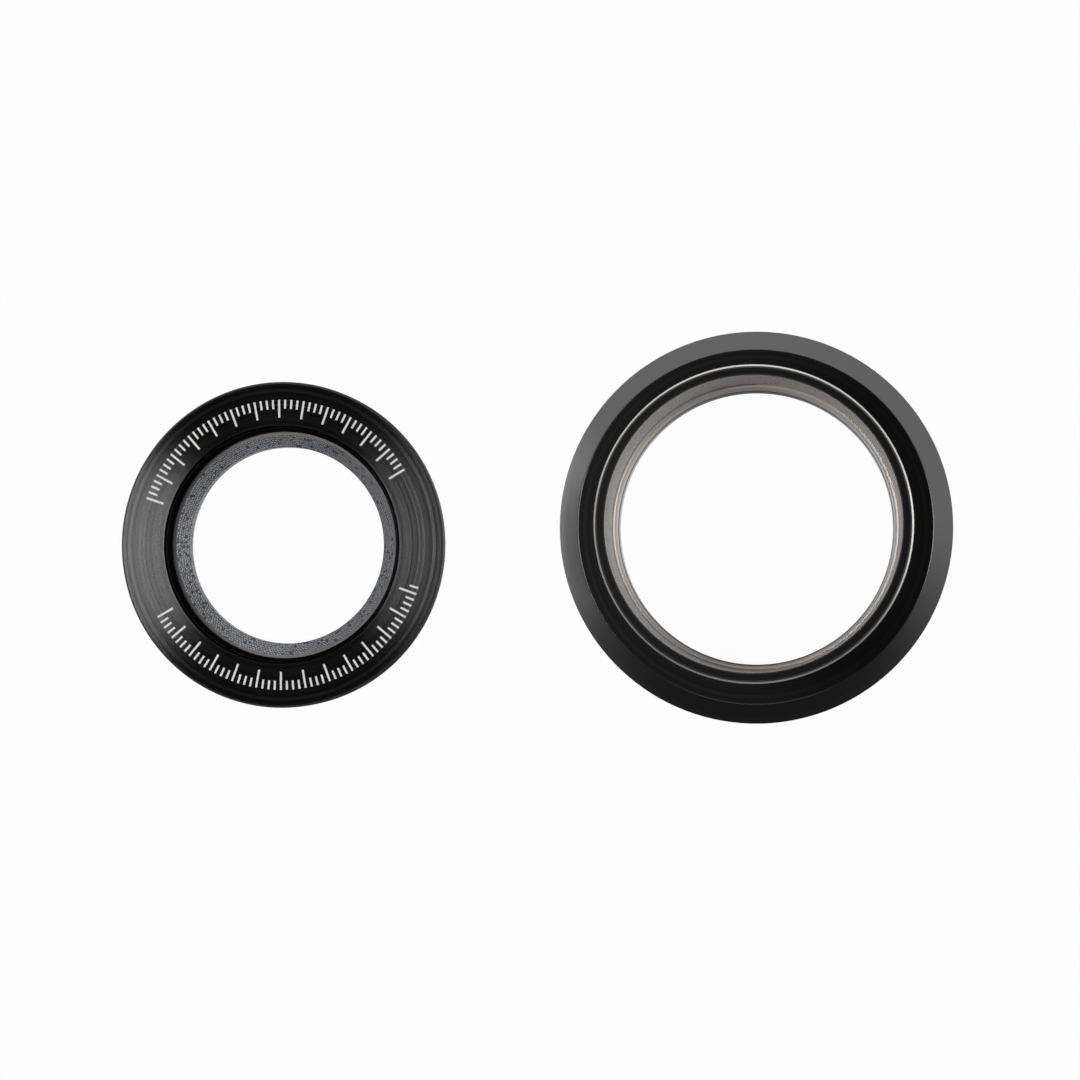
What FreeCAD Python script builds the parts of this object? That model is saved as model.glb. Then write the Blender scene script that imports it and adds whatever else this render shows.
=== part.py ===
"""Bicycle headset: the upper and the lower bearing assembly, lying side by side.

The upper assembly stands on the end of its cup, with its cover on top. The lower
assembly stands on its crown race, with the press-fit skirt of its cup pointing up.
Lengths are in millimetres, +Z is up, and the origin is at the middle of the space
that the pair takes up, on the surface that it stands on.
"""
import FreeCAD, Part
import math
import os

# Sizes that the rest of the bicycle sets
steerer_d = 28.6            # 1-1/8 inch steerer tube at the upper bearing
crown_seat_d = 39.8         # crown race seat of a 1-1/2 inch tapered fork
head_tube_d = 44.05         # press-fit skirt for a 44 mm head tube, lower cup

# How the pair lies
gap_between = 16.24         # free space between the two assemblies
row_offset = 2.47           # the upper assembly lies this much nearer to the viewer

# Bearings, alike in section, angular contact at 45 degrees
ball_d = 3.175              # 1/8 inch balls
upper_balls = 24
lower_balls = 30
upper_race_wall = 1.265     # steel behind the groove of each upper ring
lower_race_wall = 1.3525    # steel behind the groove of each lower ring
upper_bearing_w = 7.0
lower_bearing_w = 7.0
seat_chamfer = 1.3          # 45 degree face of the outer ring on the cup
wedge_chamfer = 1.4         # 45 degree face of the inner ring on its wedge
ring_edge = 0.3             # edge break at the outside of the outer rings
bore_round = 0.5            # rounding at the mouth of the inner rings' bores
ball_gap = 0.06             # running clearance of a ball in its grooves
groove_ratio = 1.04         # groove radius to ball radius
high_shoulder = 0.38        # loaded shoulders, as a share of the ball radius
low_shoulder = 0.76         # relieved shoulders, as a share of the ball radius
cage_gap = 0.16             # clearance of the cage to both rings
cage_end_gap = 0.3          # clearance of the cage to the seals
pocket_gap = 0.05           # clearance of a ball in its pocket
seal_t = 0.6
seal_recess = 0.25          # the seals lie this deep below the ring faces
seal_bite = 0.45            # width of the ledge that holds a seal
seal_fit = 0.02             # clearance of a seal in its groove
lip_gap = 0.08              # running clearance of a seal lip
lip_w = 0.55                # width of a bearing seal's thin lip

# Compression ring: a formed sheet funnel with a sliding mesh liner
liner_t = 0.25
sheet_t = 0.5
bond_gap = 0.01             # glue line under the liner
collar_gap = 0.025          # clearance of the collar in the inner ring
collar_h = 1.7              # straight part that holds the steerer
funnel_rise = 0.6           # the funnel ends this much above the bearing
seat_fit = 0.02             # clearance between seats that touch

# Upper cup
upper_cup_wall = 1.105      # wall round the bearing, which makes the skirt 44.05 across
upper_skirt_wall = 1.525    # wall below the bearing seat
skirt_hollow_h = 1.1        # open end of the skirt below the seat lip
lip_land = 0.6              # upright face of the seat lip
lip_overhang = 0.7          # the lip reaches this far inside the bearing's chamfer
bearing_proud = 0.2         # the bearing stands this much above the flange
flange_t = 1.2
flange_step = 0.975         # the flange stands out this much on the head tube
root_groove = 0.25          # round relief groove at the root of each skirt, so that it seats flat
lead_in = 0.465             # bare turned lead-in at the end of each skirt
edge_break = 0.3            # edge breaks on the cups and the cover
small_break = 0.15

# Cover
cover_overhang = 0.5        # the cover hides the flange by this much
cover_gap = 0.35            # gap between the cover and the flange
cover_h = 2.4               # from the compression ring to the top face
cover_plate_t = 1.5
cover_skirt_wall = 1.9
hub_wall = 1.6
opening_lip = 0.5           # inward lip that pushes on the compression ring
opening_lip_h = 0.47
mouth_gap = 0.05            # the lip leaves the liner's end in view
cover_seal_w = 0.7
cover_seal_depth = 0.6
cover_seal_tip = 0.3

# Lower cup
skirt_h = 13.0
skirt_wall = 1.525
end_bevel = 0.12            # inner bevel at the end of the skirt
seat_ledge = 3.255          # width of the face that meets the head tube
seat_round = 0.25           # rounding between that face and the cone
roof_t = 1.972              # metal over the bearing
roof_step = 0.4             # flat roof starts this far inside the bearing's chamfer
cone_drop = 4.0             # height of the outer cone
body_wall = 2.19
rim_z = 1.0                 # the rim stands this far above the fork crown

# Crown race
race_step = 0.1             # the race's bore is this much smaller than the bearing's
race_base_t = 1.7
race_top_w = 0.45
bearing_lift = 0.9          # the bearing stands this far above the race's base
race_seal_gap = 0.12
race_seal_lip = 0.6         # the lip stands this far out of the race
race_seal_root = 0.8        # depth of the groove that holds the seal
race_seal_z = 0.5
race_seal_t = 0.7
race_seal_rise = 0.7        # the lip's tip stands this much above its root

diagonal = math.sqrt(2)


def lathe(outline, axis):
    """Solid turned about an upright axis from a closed outline of (radius, height).

    A step that is a pair of points is an arc, through the first to the second.
    """
    start = FreeCAD.Vector(outline[0][0], 0, outline[0][1])
    here = start
    edges = []
    for step in outline[1:] + [outline[0]]:
        if isinstance(step[0], tuple):
            through, end = (FreeCAD.Vector(r, 0, z) for r, z in step)
            edges.append(Part.Arc(here, through, end).toShape())
        else:
            end = FreeCAD.Vector(step[0], 0, step[1])
            edges.append(Part.LineSegment(here, end).toShape())
        here = end
    section = Part.Face(Part.Wire(edges))
    solid = section.revolve(FreeCAD.Vector(0, 0, 0), FreeCAD.Vector(0, 0, 1), 360)
    solid.translate(FreeCAD.Vector(axis[0], axis[1], 0))
    return solid


class Bearing:
    """Cartridge bearing with a 45 degree seat outside and a 45 degree wedge inside.

    Its own heights run from the face with the seat chamfer, 0, to the face with the
    wedge chamfer, its width. Turned over, the seat faces up instead of down.
    """

    def __init__(self, bore_r, race_wall, width, balls, base_z, turned_over):
        self.bore_r = bore_r
        self.width = width
        self.balls = balls
        self.base_z = base_z
        self.turned_over = turned_over
        self.outer_r = bore_r + 2 * (race_wall + ball_gap) + ball_d
        self.pitch_r = (self.bore_r + self.outer_r) / 2
        self.middle = width / 2
        self.seal_depth = seal_recess + seal_t
        ball_r = ball_d / 2
        self.groove_r = ball_r * groove_ratio
        self.groove_shift = ball_r + ball_gap - self.groove_r
        self.high = ball_r * high_shoulder
        self.low = ball_r * low_shoulder
        self.high_reach = self.groove_reach(self.high)
        self.low_reach = self.groove_reach(self.low)

    def groove_reach(self, shoulder):
        """Half the width of a groove where it meets a shoulder."""
        return math.sqrt(self.groove_r ** 2 - (shoulder - self.groove_shift) ** 2)

    def z(self, height):
        """Height above the ground of one of the bearing's own heights."""
        if self.turned_over:
            return self.base_z + self.width - height
        return self.base_z + height

    def turn(self, outline, axis):
        """Solid turned from an outline in the bearing's own heights."""
        placed = []
        for step in outline:
            if isinstance(step[0], tuple):
                placed.append(tuple((r, self.z(h)) for r, h in step))
            else:
                placed.append((step[0], self.z(step[1])))
        return lathe(placed, axis)


# Places that follow from the sizes
steerer_r = steerer_d / 2
upper_bearing_z = skirt_hollow_h + lip_land + lip_overhang
upper_bore_r = steerer_r + liner_t + sheet_t + collar_gap
upper_section = 2 * (upper_race_wall + ball_gap) + ball_d
upper_skirt_r = upper_bore_r + upper_section + seat_fit + upper_cup_wall
hollow_r = upper_skirt_r - upper_skirt_wall
seat_lip_r = upper_bore_r + upper_section - seat_chamfer - lip_overhang
upper_bearing_z += hollow_r - seat_lip_r
upper = Bearing(upper_bore_r, upper_race_wall, upper_bearing_w, upper_balls,
                upper_bearing_z, turned_over=False)
upper_pocket_r = upper.outer_r + seat_fit
upper_top_z = upper_bearing_z + upper_bearing_w

flange_top_z = upper_top_z - bearing_proud
flange_z = flange_top_z - flange_t
flange_r = upper_skirt_r + flange_step

wedge_k = upper.bore_r - (upper_top_z - wedge_chamfer)
funnel_k = wedge_k - seat_fit * diagonal
sheet_k = funnel_k - sheet_t * diagonal
liner_k = sheet_k - liner_t * diagonal
funnel_z = upper_top_z + funnel_rise
funnel_mouth_r = funnel_z + sheet_k
collar_z = steerer_r - liner_k - collar_h

cover_r = flange_r + cover_overhang
cover_z = funnel_z + seat_fit
cover_top_z = cover_z + cover_h
cover_skirt_z = flange_top_z + cover_gap
hub_r = funnel_mouth_r + mouth_gap
opening_r = hub_r + opening_lip
cover_seal_r = cover_r - (cover_skirt_wall + cover_seal_w) / 2

race_bore_r = crown_seat_d / 2
lower_bearing_z = race_base_t + bearing_lift
lower = Bearing(race_bore_r + race_step, lower_race_wall, lower_bearing_w, lower_balls,
                lower_bearing_z, turned_over=True)
lower_pocket_r = lower.outer_r + seat_fit
lower_top_z = lower_bearing_z + lower_bearing_w
skirt_r = head_tube_d / 2
skirt_bore_r = skirt_r - skirt_wall
body_r = lower_pocket_r + body_wall
roof_r = lower.outer_r - seat_chamfer - roof_step
roof_z = lower_top_z + roof_step + seat_fit * diagonal
seat_z = roof_z + roof_t
skirt_top_z = seat_z + skirt_h
seat_face_r = skirt_r + seat_ledge
cone_z = seat_z - cone_drop

race_seal_r = lower_pocket_r - race_seal_gap
race_r = race_seal_r - race_seal_lip

pair_length = 2 * cover_r + gap_between + 2 * body_r
upper_axis = (cover_r - pair_length / 2, -row_offset)
lower_axis = (pair_length / 2 - body_r, 0)


def bearing_outer_ring(b, axis):
    """Outer ring: seat chamfer and high shoulder on the loaded side, a ledge for each seal."""
    high_r = b.pitch_r + b.high
    low_r = b.pitch_r + b.low
    groove_bottom = b.pitch_r + b.groove_shift + b.groove_r
    return b.turn([
        (high_r + seal_bite, 0),
        (b.outer_r - seat_chamfer, 0),
        (b.outer_r, seat_chamfer),
        (b.outer_r, b.width - ring_edge),
        (b.outer_r - ring_edge, b.width),
        (low_r + seal_bite, b.width),
        (low_r + seal_bite, b.width - b.seal_depth),
        (low_r, b.width - b.seal_depth),
        (low_r, b.middle + b.low_reach),
        ((groove_bottom, b.middle), (high_r, b.middle - b.high_reach)),
        (high_r, b.seal_depth),
        (high_r + seal_bite, b.seal_depth),
    ], axis)


def bearing_inner_ring(b, axis):
    """Inner ring: wedge chamfer and high shoulder on the loaded side, rounded bore mouth."""
    high_r = b.pitch_r - b.high
    low_r = b.pitch_r - b.low
    groove_bottom = b.pitch_r - b.groove_shift - b.groove_r
    bulge = bore_round * (1 - 1 / diagonal)
    return b.turn([
        (b.bore_r, bore_round),
        ((b.bore_r + bulge, bulge), (b.bore_r + bore_round, 0)),
        (low_r, 0),
        (low_r, b.middle - b.low_reach),
        ((groove_bottom, b.middle), (high_r, b.middle + b.high_reach)),
        (high_r, b.width),
        (b.bore_r + wedge_chamfer, b.width),
        (b.bore_r, b.width - wedge_chamfer),
    ], axis)


def ball_places(b, axis):
    """Centres of the balls, evenly spaced round the pitch circle."""
    for number in range(b.balls):
        angle = 2 * math.pi * number / b.balls
        yield FreeCAD.Vector(axis[0] + b.pitch_r * math.cos(angle),
                             axis[1] + b.pitch_r * math.sin(angle), b.z(b.middle))


def bearing_ball_set(b, axis):
    """All the balls of one bearing."""
    return Part.Compound([Part.makeSphere(ball_d / 2, place) for place in ball_places(b, axis)])


def bearing_cage(b, axis):
    """Moulded cage of solid lubricant, slanted like the races, with a pocket for each ball."""
    half = b.middle - b.seal_depth - cage_end_gap
    wide = b.low - cage_gap
    narrow = b.high - cage_gap
    ring = b.turn([
        (b.pitch_r - wide, b.middle - half),
        (b.pitch_r - wide, b.middle - b.low_reach),
        (b.pitch_r - narrow, b.middle + b.low_reach),
        (b.pitch_r - narrow, b.middle + half),
        (b.pitch_r + wide, b.middle + half),
        (b.pitch_r + wide, b.middle + b.low_reach),
        (b.pitch_r + narrow, b.middle - b.low_reach),
        (b.pitch_r + narrow, b.middle - half),
    ], axis)
    centre = FreeCAD.Vector(axis[0], axis[1], b.z(b.middle))
    pocket_r = ball_d / 2 + pocket_gap
    return ring.cut([Part.makeSphere(pocket_r, place, place - centre)
                     for place in ball_places(b, axis)])


def bearing_seal(b, axis, held_r, shoulder_r, face, inward):
    """Rubber seal clipped in the outer ring, with a thin lip that runs on the inner ring.

    face is the height of the bearing's face, and inward is 1 or -1, the way into it.
    """
    outer_r = held_r - seal_fit
    lip_r = shoulder_r + lip_gap
    outside = face + inward * seal_recess
    inside = outside + inward * (seal_t - seal_fit)
    return b.turn([
        (outer_r, inside),
        (outer_r, outside),
        (lip_r + lip_w, outside),
        (lip_r, outside + inward * seal_t / 3),
        (lip_r, inside - inward * seal_t / 4),
        (lip_r + lip_w, inside),
    ], axis)


def bearing_seat_seal(b, axis):
    """Seal on the side of the seat chamfer."""
    return bearing_seal(b, axis, b.pitch_r + b.high + seal_bite, b.pitch_r - b.low, 0, 1)


def bearing_wedge_seal(b, axis):
    """Seal on the side of the wedge chamfer."""
    return bearing_seal(b, axis, b.pitch_r + b.low + seal_bite, b.pitch_r - b.high, b.width, -1)


def upper_cup():
    """Press-fit cup: thin skirt, 45 degree bearing seat on an inward lip, low flange."""
    seat_k = upper.outer_r - seat_chamfer - upper.base_z + seat_fit * diagonal
    return lathe([
        (upper_skirt_r - lead_in, 0),
        (upper_skirt_r, lead_in),
        (upper_skirt_r, flange_z),
        ((upper_skirt_r + root_groove / 2, flange_z + root_groove / 2),
         (upper_skirt_r + root_groove, flange_z)),
        (flange_r - small_break, flange_z),
        (flange_r, flange_z + small_break),
        (flange_r, flange_top_z - edge_break),
        (flange_r - edge_break, flange_top_z),
        (upper_pocket_r + edge_break, flange_top_z),
        (upper_pocket_r, flange_top_z - edge_break),
        (upper_pocket_r, upper_pocket_r - seat_k),
        (seat_lip_r, seat_lip_r - seat_k),
        (seat_lip_r, hollow_r - seat_lip_r + skirt_hollow_h),
        (hollow_r, skirt_hollow_h),
        (hollow_r, small_break),
        (hollow_r + small_break, 0),
    ], upper_axis)


def compression_ring():
    """Funnel formed from sheet: its cone wedges in the inner ring, its collar centres the steerer."""
    collar_r = steerer_r + liner_t + sheet_t
    inside_r = collar_r - sheet_t
    return lathe([
        (inside_r, collar_z),
        (collar_r, collar_z),
        (collar_r, collar_r - funnel_k),
        (funnel_z + funnel_k, funnel_z),
        (funnel_mouth_r, funnel_z),
        (inside_r, inside_r - sheet_k),
    ], upper_axis)


def compression_ring_liner():
    """Mesh-filled sliding skin on the inside of the funnel, cut flat at its mouth."""
    outside_r = steerer_r + liner_t - bond_gap
    outside_k = sheet_k - bond_gap * diagonal
    return lathe([
        (steerer_r, collar_z),
        (outside_r, collar_z),
        (outside_r, outside_r - outside_k),
        (funnel_z + outside_k, funnel_z),
        (funnel_z + liner_k, funnel_z),
        (steerer_r, steerer_r - liner_k),
    ], upper_axis)


def upper_cover():
    """Turned cover: flat top, hub with a lip on the compression ring, skirt over the flange."""
    hub_outer_r = opening_r + hub_wall
    skirt_inner_r = cover_r - cover_skirt_wall
    groove_z = cover_skirt_z + cover_seal_depth
    under_z = cover_top_z - cover_plate_t
    lip_top_z = cover_z + opening_lip_h
    return lathe([
        (hub_r, cover_z),
        (hub_r, lip_top_z),
        (opening_r, lip_top_z),
        (opening_r, cover_top_z - small_break),
        (opening_r + small_break, cover_top_z),
        (cover_r - edge_break, cover_top_z),
        (cover_r, cover_top_z - edge_break),
        (cover_r, cover_skirt_z + small_break),
        (cover_r - small_break, cover_skirt_z),
        (cover_seal_r + cover_seal_w, cover_skirt_z),
        (cover_seal_r + cover_seal_w, groove_z),
        (cover_seal_r, groove_z),
        (cover_seal_r, cover_skirt_z),
        (skirt_inner_r, cover_skirt_z),
        (skirt_inner_r, under_z),
        (hub_outer_r, under_z),
        (hub_outer_r, cover_z),
    ], upper_axis)


def upper_cover_seal():
    """Rubber ring in the cover's groove, with a lip that runs on the flange."""
    inner_r = cover_seal_r + seal_fit
    outer_r = cover_seal_r + cover_seal_w - seal_fit
    tip_z = flange_top_z + lip_gap
    return lathe([
        (inner_r, tip_z),
        (inner_r + cover_seal_tip, tip_z),
        (outer_r, cover_skirt_z),
        (outer_r, cover_skirt_z + cover_seal_depth - seal_fit),
        (inner_r, cover_skirt_z + cover_seal_depth - seal_fit),
    ], upper_axis)


def lower_cup():
    """External cup: bearing pocket, 45 degree seat, outer cone, head tube face and skirt."""
    cone_angle = math.atan2(cone_drop, body_r - seat_face_r)
    tangent = seat_round * math.tan(cone_angle / 2)
    half_turn = cone_angle / 2
    round_r = seat_face_r - tangent + seat_round * math.sin(half_turn)
    round_z = seat_z - seat_round * (1 - math.cos(half_turn))
    return lathe([
        (lower_pocket_r + edge_break, rim_z),
        (body_r - edge_break, rim_z),
        (body_r, rim_z + edge_break),
        (body_r, cone_z),
        (seat_face_r + tangent * math.cos(cone_angle), seat_z - tangent * math.sin(cone_angle)),
        ((round_r, round_z), (seat_face_r - tangent, seat_z)),
        (skirt_r + root_groove, seat_z),
        ((skirt_r + root_groove / 2, seat_z - root_groove / 2), (skirt_r, seat_z)),
        (skirt_r, skirt_top_z - lead_in),
        (skirt_r - lead_in, skirt_top_z),
        (skirt_bore_r + end_bevel, skirt_top_z),
        (skirt_bore_r, skirt_top_z - end_bevel),
        (skirt_bore_r, roof_z),
        (roof_r, roof_z),
        (lower_pocket_r, roof_z - (lower_pocket_r - roof_r)),
        (lower_pocket_r, rim_z + edge_break),
    ], lower_axis)


def crown_race():
    """Crown race: flat base on the fork, 45 degree cone up into the bearing, seal groove."""
    cone_k = lower.bore_r + wedge_chamfer + lower.base_z - seat_fit * diagonal
    top_r = race_bore_r + race_top_w
    groove_r = race_r - race_seal_root
    return lathe([
        (race_bore_r, small_break),
        (race_bore_r + small_break, 0),
        (race_r - small_break, 0),
        (race_r, small_break),
        (race_r, race_seal_z),
        (groove_r, race_seal_z),
        (groove_r, race_seal_z + race_seal_t),
        (race_r, race_seal_z + race_seal_t),
        (race_r, race_base_t - small_break),
        (race_r - small_break, race_base_t),
        (cone_k - race_base_t, race_base_t),
        (top_r, cone_k - top_r),
        (race_bore_r + small_break, cone_k - top_r),
        (race_bore_r, cone_k - top_r - small_break),
    ], lower_axis)


def crown_race_seal():
    """Rubber seal in the race's groove, with a lip that flares up inside the cup's rim."""
    root_r = race_r - race_seal_root + seal_fit
    low_z = race_seal_z + seal_fit
    high_z = race_seal_z + race_seal_t - seal_fit
    return lathe([
        (root_r, low_z),
        (race_r + seal_fit, low_z),
        (race_seal_r, high_z),
        (race_seal_r, high_z + race_seal_rise),
        (race_seal_r - race_seal_lip / 3, high_z + race_seal_rise),
        (race_r + seal_fit, high_z),
        (root_r, high_z),
    ], lower_axis)


def bearing_nodes(name, b, axis):
    """The six pieces of one bearing, by node name."""
    return {
        name + "_bearing_outer_ring": bearing_outer_ring(b, axis),
        name + "_bearing_inner_ring": bearing_inner_ring(b, axis),
        name + "_bearing_balls": bearing_ball_set(b, axis),
        name + "_bearing_cage": bearing_cage(b, axis),
        name + "_bearing_seat_seal": bearing_seat_seal(b, axis),
        name + "_bearing_wedge_seal": bearing_wedge_seal(b, axis),
    }


def build():
    """Every piece of the pair, by node name."""
    nodes = {
        "upper_cup": upper_cup(),
        "upper_cover": upper_cover(),
        "upper_cover_seal": upper_cover_seal(),
        "compression_ring": compression_ring(),
        "compression_ring_liner": compression_ring_liner(),
        "lower_cup": lower_cup(),
        "crown_race": crown_race(),
        "crown_race_seal": crown_race_seal(),
    }
    nodes.update(bearing_nodes("upper", upper, upper_axis))
    nodes.update(bearing_nodes("lower", lower, lower_axis))
    return nodes


os.makedirs("parts", exist_ok=True)
for node, shape in build().items():
    shape.exportStep("parts/" + node + ".step")
    print(node, len(shape.Solids), round(shape.Volume, 2), shape.isValid())
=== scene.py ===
# %% [markdown]
# # A bicycle headset, dressed for the studio
#
# A headset is the pair of bearings that a bicycle's fork turns in. This scene takes the
# finished parts of one, an upper and a lower bearing assembly lying side by side, and gives
# every surface its finish. Nearly all of it is turned on a lathe, so nearly all of its looks
# come from one idea: a surface that knows how far it is from its own axis.

# %% The frame
import math

import bpy
from mathutils import Matrix, Vector


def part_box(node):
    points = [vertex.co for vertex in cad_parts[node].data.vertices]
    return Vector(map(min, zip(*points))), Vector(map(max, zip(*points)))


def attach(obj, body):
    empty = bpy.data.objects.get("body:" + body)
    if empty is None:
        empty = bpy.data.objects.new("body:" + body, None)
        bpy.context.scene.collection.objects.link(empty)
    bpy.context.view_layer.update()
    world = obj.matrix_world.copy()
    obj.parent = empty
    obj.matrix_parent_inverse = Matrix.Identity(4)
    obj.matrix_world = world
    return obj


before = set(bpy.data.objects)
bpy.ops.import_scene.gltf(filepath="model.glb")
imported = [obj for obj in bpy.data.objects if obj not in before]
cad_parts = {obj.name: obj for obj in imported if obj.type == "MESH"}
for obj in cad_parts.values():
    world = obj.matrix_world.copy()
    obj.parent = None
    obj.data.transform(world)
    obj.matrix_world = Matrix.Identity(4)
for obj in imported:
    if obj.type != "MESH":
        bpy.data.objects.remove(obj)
scene = bpy.context.scene
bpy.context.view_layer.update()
MM = 0.001                   # the frame is in metres, the finishes think in millimetres
print("pieces from the frame:", len(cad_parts))

# %% [markdown]
# ## Where the two axes stand
#
# Each assembly turns about an upright axis through the middle of its cup. The finishes need
# those axes, and the heights of a few edges. They could be typed in, but measured on the
# pieces themselves they can't be wrong by a slip of the hand.

# %% Axes and edges
def middle(node):
    """Middle of a piece's box, in metres."""
    low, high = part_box(node)
    return (low + high) / 2


UPPER_AXIS = middle("upper_cup")
LOWER_AXIS = middle("lower_cup")
COVER_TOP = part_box("upper_cover")[1].z
COVER_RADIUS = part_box("upper_cover")[1].x - UPPER_AXIS.x
SKIRT_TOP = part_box("lower_cup")[1].z
print("axes, mm:", [round(v / MM, 3) for v in (*UPPER_AXIS.xy, *LOWER_AXIS.xy)])
print("cover top and skirt top, mm:", round(COVER_TOP / MM, 2), round(SKIRT_TOP / MM, 2))

# %% [markdown]
# ## The camera
#
# The photograph looks straight down on the pair. A ring seen from above shows how far the
# camera was: the top of the lower skirt looks larger against the bore at its foot when the
# camera is near. Forty centimetres fits both assemblies. The camera stands a little to the
# right of the lower assembly's axis and in front of it, which turns a strip of the skirt's
# inner wall into view. A constraint could aim it, but a camera that looks nearly straight
# down rolls easily, and the picture's up has to stay the frame's +Y. So its own three axes
# are written down one by one, which leaves it no roll.

# %% Camera
CAMERA_HEIGHT = 0.4
FRAME_WIDTH = 0.1597         # width of the picture at the floor, metres
FOOT = Vector((0.03894, -0.01131, 0))    # the point on the floor straight below the camera
AIM = Vector((-0.00025, -0.00155, 0))    # the middle of the picture, on the floor

camera_data = bpy.data.cameras.new("camera")
camera = bpy.data.objects.new("camera", camera_data)
scene.collection.objects.link(camera)
camera.location = FOOT + Vector((0, 0, CAMERA_HEIGHT))
sight = AIM - camera.location
back = -sight.normalized()
right = Vector((0, 1, 0)).cross(back).normalized()
camera.rotation_euler = Matrix((right, back.cross(right), back)).transposed().to_euler()
camera_data.lens = camera_data.sensor_width * sight.length / FRAME_WIDTH
scene.camera = camera
scene.view_settings.view_transform = "Standard"
print("lens, mm:", round(camera_data.lens, 1), "tilt, degrees:",
      round(math.degrees(sight.angle(Vector((0, 0, -1)))), 2))

# %% [markdown]
# ## Colours and nodes
#
# Colours are written as the hex values that a picture shows, and one function turns them
# into the linear values that the renderer works in. One more function adds a shader node,
# sets it up and links it, so that each finish below reads as a list of what it is made of.
# It sets a node up before it links it, because that decides what a socket's name stands
# for: A and B of a Mix node are numbers, or colours where its data type is RGBA.

# %% Helpers for finishes
def linear(hex_colour):
    """Linear RGBA from an sRGB hex value such as "#1a1b1c"."""
    channels = [int(hex_colour[i:i + 2], 16) / 255 for i in (1, 3, 5)]
    straight = [c / 12.92 if c <= 0.04045 else ((c + 0.055) / 1.055) ** 2.4 for c in channels]
    return (*straight, 1)


def add(material, kind, sockets=None, **settings):
    """Add a node. A socket's value is a number, a colour or another node's output."""
    tree = material.node_tree
    node = tree.nodes.new(kind)
    for name, value in settings.items():
        setattr(node, name, value)
    for socket, value in (sockets or {}).items():
        if isinstance(value, bpy.types.NodeSocket):
            tree.links.new(value, node.inputs[socket])
        else:
            node.inputs[socket].default_value = value
    return node


def new_material(name):
    """Empty material with an output node."""
    material = bpy.data.materials.new(name)
    material.use_nodes = True
    material.node_tree.nodes.clear()
    add(material, "ShaderNodeOutputMaterial")
    return material


def show(material, shader):
    """Send a shader to the material's surface."""
    output = material.node_tree.nodes["Material Output"]
    material.node_tree.links.new(shader, output.inputs["Surface"])


def dress(material, *nodes):
    """Give a material to pieces of the frame."""
    for name in nodes:
        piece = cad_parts[name]
        piece.data.materials.clear()
        piece.data.materials.append(material)
    print(material.name, "->", ", ".join(nodes))


print("black and white, linear:", linear("#000000"), linear("#ffffff"))

# %% [markdown]
# ## Zones
#
# Many finishes below end at a line: a radius, a height, a distance on the floor. A zone is
# 1 between two values and 0 outside, with a short soft step at both ends. It gives one piece
# of metal a bare edge or a blasted bore without any extra mesh, and it also bounds the
# bright patch on the paper.

# %% Zones
EDGE = 0.02                  # half the width of a zone's soft step, mm
OPEN_END = 99.0              # a radius or height that no piece reaches, mm


def zone(material, value, low, high, soft=EDGE):
    """1 where a value lies between two others, 0 outside."""
    rise = add(material, "ShaderNodeMapRange",
               {"Value": value, "From Min": low - soft, "From Max": low + soft},
               interpolation_type="SMOOTHSTEP")
    fall = add(material, "ShaderNodeMapRange",
               {"Value": value, "From Min": high + soft, "From Max": high - soft},
               interpolation_type="SMOOTHSTEP")
    both = add(material, "ShaderNodeMath", {0: rise.outputs[0], 1: fall.outputs[0]},
               operation="MULTIPLY")
    return both.outputs[0]


print("zones step over", 2 * EDGE, "mm")

# %% [markdown]
# ## The floor
#
# The photograph is a product shot on pure white. A studio would hang its paper in a curve,
# but from above only the flat part shows, so one large square does. It belongs to the stage
# and not to the headset.

# %% Floor
FLOOR_HALF = 3.0             # metres

floor_mesh = bpy.data.meshes.new("floor")
floor_mesh.from_pydata([(-FLOOR_HALF, -FLOOR_HALF, 0), (FLOOR_HALF, -FLOOR_HALF, 0),
                        (FLOOR_HALF, FLOOR_HALF, 0), (-FLOOR_HALF, FLOOR_HALF, 0)],
                       [], [(0, 1, 2, 3)])
floor = bpy.data.objects.new("floor", floor_mesh)
scene.collection.objects.link(floor)
print("floor, metres across:", 2 * FLOOR_HALF)

# %% [markdown]
# ## The paper that the metal mirrors
#
# Black metal shows its form only by what it mirrors, and in the photograph each ring was lit
# by itself. One floor has to serve both, so light and shade are painted on the paper, but
# only where a mirrored ray meets it. In front of the pair a painted shade fades it to dark,
# as a table does that is lit from behind and from the sides: that turns the near side of
# the lower cup's cone black. Inside the lower cup a painted shadow darkens it in the middle,
# and far left and right painted light makes it a little brighter than open paper, which
# sets the greys of the bores. Between the two assemblies lies a painted patch of light,
# because the upper one would otherwise be a dark shape in the cone's left side.

# %% Mirrored paper
LIT_UP_TO, DARK_FROM = 0.004, -0.047     # the fade runs between these two lines, metres
FRONT_GLOW = 0.02            # what is left of the light in front
WELL_SHADE, WELL_SIDES = 0.18, 1.2       # paper inside the cup: middle, far left and right
WELL_RADIUS = 0.0205         # metres
WELL_RIM = 1.15              # the shade is gone this far out, in radii
PATCH_GLOW = 3.9             # the bright patch, against open paper
PATCH_HALF = 0.014           # half its length, metres
PATCH_SOFT = (0.004, 0.012)  # half the width of its soft edges, across and along, metres

paper = new_material("white paper sweep")
ground = add(paper, "ShaderNodeTexCoord").outputs["Object"]
place = add(paper, "ShaderNodeSeparateXYZ", {0: ground})
# Painted shade: the mirrored paper fades to dark in front of the pair.
fade = add(paper, "ShaderNodeMapRange",
           {"Value": place.outputs["Y"], "From Min": DARK_FROM, "From Max": LIT_UP_TO,
            "To Min": FRONT_GLOW, "To Max": 1.0}, interpolation_type="SMOOTHSTEP")

# Painted shadow in the middle of the lower cup, and painted light far left and right in it.
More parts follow.
